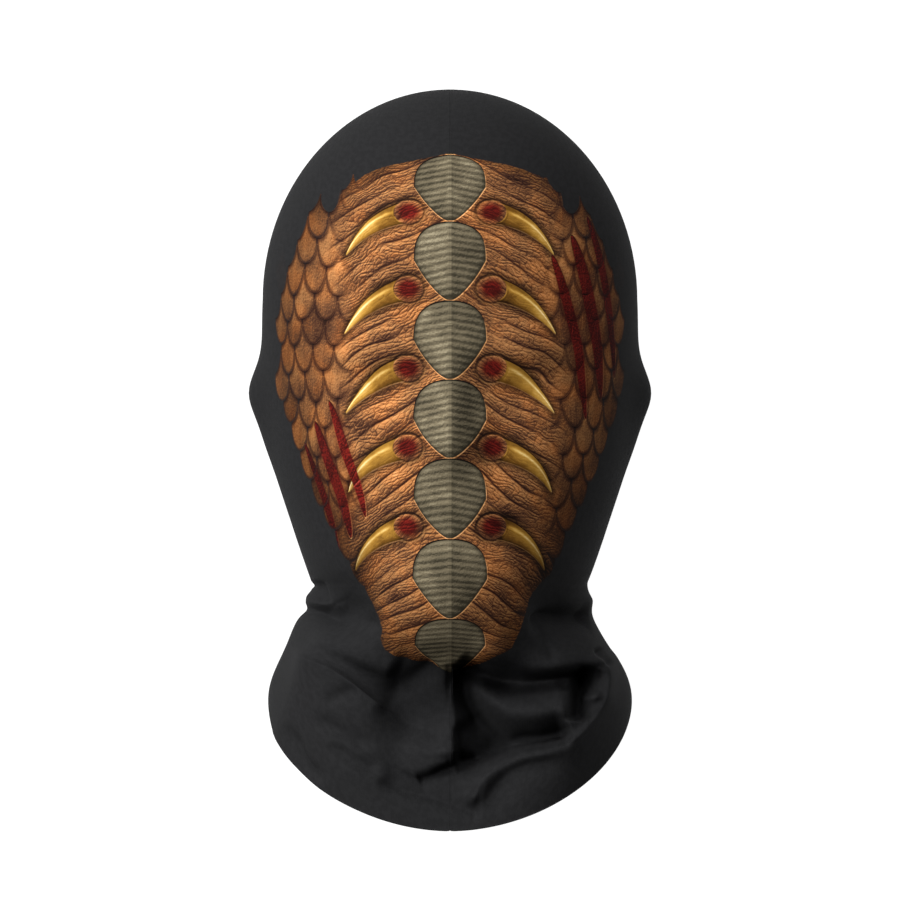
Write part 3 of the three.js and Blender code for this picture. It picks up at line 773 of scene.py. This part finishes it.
# Each run of shades goes from dark to light. The place on it is worked out from how the relief is
# lit and from blotches, by a share of each and a start.
fleshShades = shadesOf("0f0302", "3a0b08", "6d1a13", "9a4034", "dca090")
tones = {
    "hide": {"lit": 0.78, "blotch": 0.55, "start": 0.02, "shades": shadesOf(
        "0d0604", "2a1710", "4a2f1e", "6f492b", "94683f", "b58657", "cfa577", "ecd2a4")},
    "horn": {"lit": 0.8, "blotch": 0.5, "start": -0.02, "shades": shadesOf(
        "0d0b08", "2e2a20", "5b5342", "928971", "cfc4a6")},
    "ivory": {"lit": 0.4, "blotch": 0.55, "start": -0.16, "shades": shadesOf(
        "1d0f03", "583a12", "8c6627", "b08d49", "cdb681", "efe4c4")},
    "raw": {"lit": 0.72, "blotch": 0.5, "start": -0.1, "shades": fleshShades},
    "wound": {"lit": 0.7, "blotch": 0.45, "start": -0.06, "shades": fleshShades},
    "lip": fleshShades[1][1] + (1,), "warm": (1.0, 0.7, 0.48, 1), "dusk": (0.26, 0.22, 0.17, 1),
    "dark": (0.004, 0.002, 0.001, 1),
}
# The print is drawn as if lit from one side of the cloth, and way points towards that side. The
# rest says how strongly each part is tinted, shaded or made to shine.
light = {
    "way": (-0.32, 0.95), "nudge": 0.45, "softness": 1.5,
    "waver": 22, "waverNoise": (0.028, 1, 0.5), "blotchNoise": (0.055, 4, 0.62),
    "cavity": (0, 0.3), "cavityLeast": 0.45, "underShade": 0.5, "scaleTint": 0.16,
    "warmBlotches": (0.4, 0.66), "warmth": 0.55, "plateRim": (-0.02, 0.3), "plateLeast": 0.5,
    "thornShadow": (4, 0), "shadowDepth": 0.75, "lipShare": 0.35,
    "gleamAt": 0.38, "gleamWidth": 0.16, "gleamFrom": (0.1, 0.3), "gleam": 0.3,
    "roundLight": 0.2, "tipLight": 0.3,
}


def toneOf(run, lit, blotch):
    return lit * run["lit"] + (blotch - 0.5) * run["blotch"] + run["start"]


def hideColour(paint, u, v):
    red, green, _ = paint.split(paint.noise(paint.point(u, v), *light["waverNoise"], "Color"))
    waver = (red - 0.5) * light["waver"], (green - 0.5) * light["waver"]
    height, marks = hideRelief(paint, u, v, waver)
    nudge, (wayX, wayY) = light["nudge"], light["way"]
    towardsLight, _ = hideRelief(paint, u + wayX * nudge, v + wayY * nudge, waver)
    slope = (height - towardsLight) / nudge
    lit = slope / (abs(slope) + light["softness"]) * 0.5 + 0.5

    blotch = paint.noise(paint.point(u, v), *light["blotchNoise"])
    scaled = 1 - marks["soft"]
    cavity = marks["room"].ramp(*light["cavity"]).towards(marks["hollow"], marks["soft"])
    tone = toneOf(tones["hide"], lit, blotch) + (marks["tint"] - 0.5) * light["scaleTint"] * scaled
    tone = tone * cavity.withLeast(light["cavityLeast"])
    tone = tone * (1 - marks["under"] * scaled * light["underShade"])
    hide = paint.shades(tone, tones["hide"]["shades"])
    warmth = blotch.ramp(*light["warmBlotches"]) * light["warmth"]
    hide = paint.mix(warmth, hide, paint.multiply(hide, tones["warm"]))

    rim = marks["plateInside"].ramp(*light["plateRim"]).withLeast(light["plateLeast"])
    horn = paint.shades(toneOf(tones["horn"], lit, blotch) * rim, tones["horn"]["shades"])
    colour = paint.mix(marks["plate"], hide, horn)
    raw = paint.shades(toneOf(tones["raw"], lit, blotch), tones["raw"]["shades"])
    colour = paint.mix(marks["raw"], colour, raw)
    shadow = marks["thornGap"].ramp(*light["thornShadow"]) * marks["clear"] * light["shadowDepth"]
    colour = paint.mix(shadow, colour, tones["dark"])

    beside, along = marks["thornBeside"], marks["thornAlong"]
    gleam = ((beside - light["gleamAt"]) / light["gleamWidth"]).fading() * along.ramp(*light["gleamFrom"])
    polish = (1 - beside ** 2) * light["roundLight"] + along * light["tipLight"] + gleam * light["gleam"]
    ivory = paint.shades(toneOf(tones["ivory"], lit, blotch) + polish, tones["ivory"]["shades"])
    colour = paint.mix(marks["thorn"], colour, ivory)

    wound = paint.shades(toneOf(tones["wound"], lit, marks["speckle"]), tones["wound"]["shades"])
    colour = paint.mix(marks["lip"] * light["lipShare"], colour, tones["lip"])
    colour = paint.mix(marks["cut"], colour, wound)

    # the scales at the edge of the print are whole ones, and the gaps there show the black cloth
    border = regionAt(paint, u, v) + (blotch - 0.5) * field["ragged"]
    whole = regionAt(paint, *marks["centre"]).towards(border, marks["soft"])
    gaps = (1 - cavity) * whole.ramp(*field["blackGaps"]) * field["gapDepth"]
    inside = whole.ramp(*field["edge"]) * (1 - gaps)
    dusk = border.ramp(field["duskFrom"], field["duskTo"]) * field["dusk"]
    return paint.mix(dusk, colour, paint.multiply(colour, tones["dusk"])), inside


# The knit has ribs (wales) and rows of loops (courses), in millimetres. The depth is in metres.
clothLook = {
    "black": (0.0104, 0.0104, 0.0109, 1), "inside": (0.03, 0.03, 0.032, 1), "roughness": 0.9,
    "gloss": 0.05, "mottleNoise": (0.35, 3, 0.6), "mottle": (0.35, 0.65), "darker": 0.82,
    "wale": 0.75, "course": 0.6, "sway": 0.22, "waleShare": 0.6, "loopDepth": 0.00004, "bump": 0.5,
}


def knitHeight(u, v):
    wale = (u * (2 * math.pi / clothLook["wale"])).math("COSINE")
    course = ((v + abs(wale) * clothLook["sway"]) * (2 * math.pi / clothLook["course"])).sine()
    return course.towards(wale, clothLook["waleShare"])


def clothMaterial(name, printed):
    paint = Paint(name)
    spot = paint.node("Attribute", {"attribute_name": "printPlace"}, (), "Vector")
    u, v, _ = paint.split(spot)
    mottle = paint.noise(paint.point(u, v), *clothLook["mottleNoise"]).ramp(*clothLook["mottle"])
    ground = clothLook["black"] if printed else clothLook["inside"]
    darker = tuple(c * clothLook["darker"] for c in ground[:3]) + (1,)
    colour = paint.mix(mottle, darker, ground)
    if printed:
        picture, inside = hideColour(paint, u, v)
        colour = paint.mix(inside, colour, picture)
    loops = paint.node("Bump", {}, {"Strength": clothLook["bump"], "Distance": clothLook["loopDepth"],
                                    "Height": knitHeight(u, v)})
    paint.fill(paint.shader, {"Base Color": colour, "Roughness": clothLook["roughness"],
                              "Specular IOR Level": clothLook["gloss"], "Normal": loops})
    return paint.material


outside = clothMaterial("printedKnit", True)
inside = clothMaterial("knitInside", False)
print("cloth materials made:", len(outside.node_tree.nodes), "nodes")

for name, node, side, slot in (("left_cloth_panel", "left_panel", -1, "left_cloth"),
                               ("right_cloth_panel", "right_panel", 1, "right_cloth")):
    panel = makePanel(name, node, side, [outside, inside])

# The floor glows white of itself, so no shadow shows on it
floorSpec = {
    "size": 6.0, "colour": (0.1, 0.1, 0.1, 1), "roughness": 0.9, "glow": 1.0, "glowColour": (1, 1, 1, 1),
}


def makeFloor():
    bpy.ops.mesh.primitive_plane_add(size=floorSpec["size"], location=(0, 0, 0))
    floor = bpy.context.object
    floor.name = "floor"
    paint = Paint("floorPaper")
    paint.fill(paint.shader, {"Base Color": floorSpec["colour"], "Roughness": floorSpec["roughness"],
                              "Emission Color": floorSpec["glowColour"],
                              "Emission Strength": floorSpec["glow"]})
    floor.data.materials.append(paint.material)


makeFloor()

# Square lamps, placed round the middle of the hood, and a room with no light of its own
studio = {
    "lamps": [  # name, degrees round from the right, degrees up, watts
        ("upper right", 45, 45, 5),
        ("beyond the crown", 90, 45, 13),
        ("upper left, low", 135, 18, 15),
        ("upper left", 135, 45, 20),
        ("left", 180, 45, 21),
        ("left, high", 180, 70, 11),
    ],
    "lampSize": 0.6, "aim": (0, 0, 0.1), "distance": 1.7, "room": 0.0,
}


def makeLamps():
    for name, around, up, watts in studio["lamps"]:
        area = bpy.data.lights.new(name, "AREA")
        area.size, area.energy = studio["lampSize"], watts
        lamp = bpy.data.objects.new(name, area)
        around, up = math.radians(around), math.radians(up)
        way = Vector((math.cos(around) * math.cos(up), math.sin(around) * math.cos(up), math.sin(up)))
        lamp.location = Vector(studio["aim"]) + way * studio["distance"]
        lamp.rotation_euler = (-way).to_track_quat("-Z", "Y").to_euler()
        bpy.context.scene.collection.objects.link(lamp)
    world = bpy.data.worlds.new("softRoom")
    world.use_nodes = True
    world.node_tree.nodes["Background"].inputs["Strength"].default_value = studio["room"]
    bpy.context.scene.world = world
    bpy.context.scene.view_settings.view_transform = "Standard"


makeLamps()
print("floor and lamps placed")
